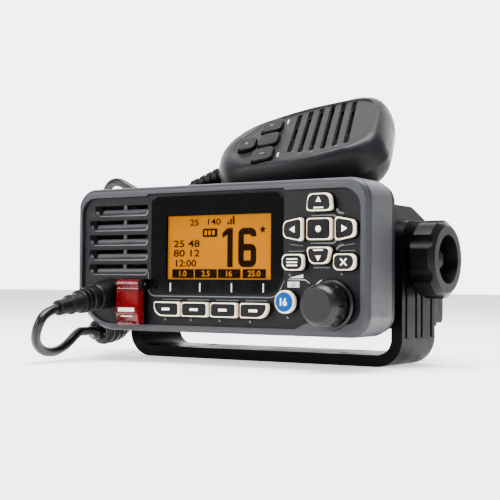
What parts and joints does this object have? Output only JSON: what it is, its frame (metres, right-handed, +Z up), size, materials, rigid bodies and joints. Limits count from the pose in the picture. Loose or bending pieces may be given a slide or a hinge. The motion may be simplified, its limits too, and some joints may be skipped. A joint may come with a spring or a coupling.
{
  "type": "vhf marine radio",
  "caption": "Fixed-mount marine radio with lit display, keys, dial and guarded button, clamped in a U-shaped tilting bracket, with a curly-corded hand microphone.",
  "frame": {"origin": "centre of the bracket's underside, straight below the clamp knobs' axis", "axes": "+Z up, the front panel faces -Y, +X to the right of someone facing the panel"},
  "size_m": [0.2004, 0.161, 0.1264],
  "materials": {
    "bracket_black": "satin moulded black plastic",
    "panel_charcoal": "fine spark-textured charcoal plastic",
    "cast_black": "black painted die casting",
    "cover_black": "black painted sheet",
    "rubber_black": "matt rubber",
    "screw_steel": "black zinc plated steel",
    "board_green": "solder mask",
    "can_steel": "tinned steel",
    "display_orange": "backlit display",
    "window_clear": "clear hard-coated window with a black border",
    "speaker_black": "treated paper cone and steel basket",
    "key_black": "black key tops on cream side walls",
    "key_blue": "blue key top on a cream side wall",
    "dial_black": "matt grip with a grey face",
    "shaft_metal": "turned",
    "cover_red": "clear red plastic",
    "button_red": "red",
    "pin_steel": "steel pin",
    "socket_nickel": "nickel plated",
    "insert_brass": "threaded brass",
    "knob_black": "satin black with softened edges",
    "cord_black": "semi-gloss cord jacket",
    "mic_charcoal": "fine textured charcoal plastic",
    "stud_metal": "plated stud"
  },
  "bodies": {
    "bracket": {"mounting_bracket": "bracket_black"},
    "radio": {"front_panel": "panel_charcoal", "panel_gasket": "rubber_black", "chassis": "cast_black", "bottom_cover": "cover_black", "cover_screws": "screw_steel", "panel_screws": "screw_steel", "main_board": "board_green", "shield_can": "can_steel", "front_board": "board_green", "keypad_mat": "rubber_black", "display_module": "display_orange", "display_window": "window_clear", "speaker": "speaker_black", "dial_collar": "panel_charcoal", "dial_encoder": "speaker_black", "distress_frame": "bracket_black", "cover_pin": "pin_steel", "antenna_socket": "socket_nickel", "rear_glands": "rubber_black", "side_inserts": "insert_brass", "side_spacers": "rubber_black", "cord_boss": "rubber_black", "cord_gland": "rubber_black", "mic_cord_loop": "cord_black", "mic_cord_curls": "cord_black", "mic_cord_tail": "cord_black"},
    "soft_key_1": {"soft_key_1": "key_black"},
    "soft_key_2": {"soft_key_2": "key_black"},
    "soft_key_3": {"soft_key_3": "key_black"},
    "soft_key_4": {"soft_key_4": "key_black"},
    "up_key": {"up_key": "key_black"},
    "down_key": {"down_key": "key_black"},
    "left_key": {"left_key": "key_black"},
    "right_key": {"right_key": "key_black"},
    "enter_key": {"enter_key": "key_black"},
    "menu_key": {"menu_key": "key_black"},
    "clear_key": {"clear_key": "key_black"},
    "channel_key": {"channel_key": "key_blue"},
    "dial_plunger": {"dial_plunger": "shaft_metal"},
    "dial": {"dial_shaft": "shaft_metal", "dial_knob": "dial_black"},
    "distress_cover": {"distress_cover": "cover_red"},
    "distress_button": {"distress_button": "button_red"},
    "left_washer": {"left_knob_washer": "rubber_black"},
    "left_knob": {"left_clamp_knob": "knob_black"},
    "right_washer": {"right_knob_washer": "rubber_black"},
    "right_knob": {"right_clamp_knob": "knob_black"},
    "microphone": {"mic_front_shell": "mic_charcoal", "mic_rear_shell": "mic_charcoal", "mic_board": "board_green", "mic_speaker": "speaker_black", "hanger_stud": "stud_metal", "mic_relief": "rubber_black", "mic_screws": "screw_steel"},
    "talk_button": {"talk_button": "key_black"},
    "mic_up_key": {"mic_up_key": "key_black"},
    "mic_down_key": {"mic_down_key": "key_black"},
    "mic_mid_key": {"mic_mid_key": "key_black"},
    "mic_low_key": {"mic_low_key": "key_black"}
  },
  "joints": [
    {"name": "unit_tilt", "type": "hinge", "parent": "bracket", "child": "radio", "pos_m": [0, 0, 0.0477], "axis": [1, 0, 0], "range_deg": [-20, 10]},
    {"name": "soft_key_1_press", "type": "slide", "parent": "radio", "child": "soft_key_1", "axis": [0, 1, 0], "range_m": [0, 0.0008], "stiffness_N_per_m": 1200, "springref_m": -0.0002},
    {"name": "soft_key_2_press", "type": "slide", "parent": "radio", "child": "soft_key_2", "axis": [0, 1, 0], "range_m": [0, 0.0008], "stiffness_N_per_m": 1200, "springref_m": -0.0002},
    {"name": "soft_key_3_press", "type": "slide", "parent": "radio", "child": "soft_key_3", "axis": [0, 1, 0], "range_m": [0, 0.0008], "stiffness_N_per_m": 1200, "springref_m": -0.0002},
    {"name": "soft_key_4_press", "type": "slide", "parent": "radio", "child": "soft_key_4", "axis": [0, 1, 0], "range_m": [0, 0.0008], "stiffness_N_per_m": 1200, "springref_m": -0.0002},
    {"name": "up_key_press", "type": "slide", "parent": "radio", "child": "up_key", "axis": [0, 1, 0], "range_m": [0, 0.0008], "stiffness_N_per_m": 1200, "springref_m": -0.0002},
    {"name": "down_key_press", "type": "slide", "parent": "radio", "child": "down_key", "axis": [0, 1, 0], "range_m": [0, 0.0008], "stiffness_N_per_m": 1200, "springref_m": -0.0002},
    {"name": "left_key_press", "type": "slide", "parent": "radio", "child": "left_key", "axis": [0, 1, 0], "range_m": [0, 0.0008], "stiffness_N_per_m": 1200, "springref_m": -0.0002},
    {"name": "right_key_press", "type": "slide", "parent": "radio", "child": "right_key", "axis": [0, 1, 0], "range_m": [0, 0.0008], "stiffness_N_per_m": 1200, "springref_m": -0.0002},
    {"name": "enter_key_press", "type": "slide", "parent": "radio", "child": "enter_key", "axis": [0, 1, 0], "range_m": [0, 0.0008], "stiffness_N_per_m": 1200, "springref_m": -0.0002},
    {"name": "menu_key_press", "type": "slide", "parent": "radio", "child": "menu_key", "axis": [0, 1, 0], "range_m": [0, 0.0008], "stiffness_N_per_m": 1200, "springref_m": -0.0002},
    {"name": "clear_key_press", "type": "slide", "parent": "radio", "child": "clear_key", "axis": [0, 1, 0], "range_m": [0, 0.0008], "stiffness_N_per_m": 1200, "springref_m": -0.0002},
    {"name": "channel_key_press", "type": "slide", "parent": "radio", "child": "channel_key", "axis": [0, 1, 0], "range_m": [0, 0.0008], "stiffness_N_per_m": 1200, "springref_m": -0.0002},
    {"name": "dial_push", "type": "slide", "parent": "radio", "child": "dial_plunger", "axis": [0, 1, 0], "range_m": [0, 0.0008], "stiffness_N_per_m": 1500, "springref_m": -0.0002},
    {"name": "dial_turn", "type": "hinge", "parent": "dial_plunger", "child": "dial", "pos_m": [0.0605, -0.0552, 0.0277], "axis": [0, 1, 0], "continuous": true},
    {"name": "distress_cover_lift", "type": "hinge", "parent": "radio", "child": "distress_cover", "pos_m": [-0.0433, -0.0582, 0.0358], "axis": [-1, 0, 0], "range_deg": [0, 100], "stiffness_Nm_per_rad": 0.0008, "springref_deg": -22.92},
    {"name": "distress_press", "type": "slide", "parent": "radio", "child": "distress_button", "axis": [0, 1, 0], "range_m": [0, 0.0008], "stiffness_N_per_m": 1500, "springref_m": -0.0002},
    {"name": "left_knob_out", "type": "slide", "parent": "radio", "child": "left_washer", "axis": [-1, 0, 0], "range_m": [0, 0.0024]},
    {"name": "left_knob_turn", "type": "hinge", "parent": "left_washer", "child": "left_knob", "pos_m": [0, 0, 0.0477], "axis": [-1, 0, 0], "range_deg": [0, 1080]},
    {"name": "right_knob_out", "type": "slide", "parent": "radio", "child": "right_washer", "axis": [1, 0, 0], "range_m": [0, 0.0024]},
    {"name": "right_knob_turn", "type": "hinge", "parent": "right_washer", "child": "right_knob", "pos_m": [0, 0, 0.0477], "axis": [1, 0, 0], "range_deg": [0, 1080]},
    {"name": "mic_lift", "type": "slide", "parent": "radio", "child": "microphone", "axis": [0, 0, 1], "range_m": [0, 0.06]},
    {"name": "talk_press", "type": "slide", "parent": "microphone", "child": "talk_button", "axis": [0.2954, -0.7739, -0.5603], "range_m": [0, 0.0015], "stiffness_N_per_m": 900, "springref_m": -0.0002},
    {"name": "mic_up_key_press", "type": "slide", "parent": "microphone", "child": "mic_up_key", "axis": [0.0046, 0.5876, -0.8092], "range_m": [0, 0.0007], "stiffness_N_per_m": 900, "springref_m": -0.0002},
    {"name": "mic_down_key_press", "type": "slide", "parent": "microphone", "child": "mic_down_key", "axis": [0.0046, 0.5876, -0.8092], "range_m": [0, 0.0007], "stiffness_N_per_m": 900, "springref_m": -0.0002},
    {"name": "mic_mid_key_press", "type": "slide", "parent": "microphone", "child": "mic_mid_key", "axis": [0.0046, 0.5876, -0.8092], "range_m": [0, 0.0007], "stiffness_N_per_m": 900, "springref_m": -0.0002},
    {"name": "mic_low_key_press", "type": "slide", "parent": "microphone", "child": "mic_low_key", "axis": [0.0046, 0.5876, -0.8092], "range_m": [0, 0.0007], "stiffness_N_per_m": 900, "springref_m": -0.0002}
  ],
  "couplings": [
    {"joint": "left_knob_out", "follows": "left_knob_turn", "m_per_rad": 0.00012732},
    {"joint": "right_knob_out", "follows": "right_knob_turn", "m_per_rad": 0.00012732}
  ]
}
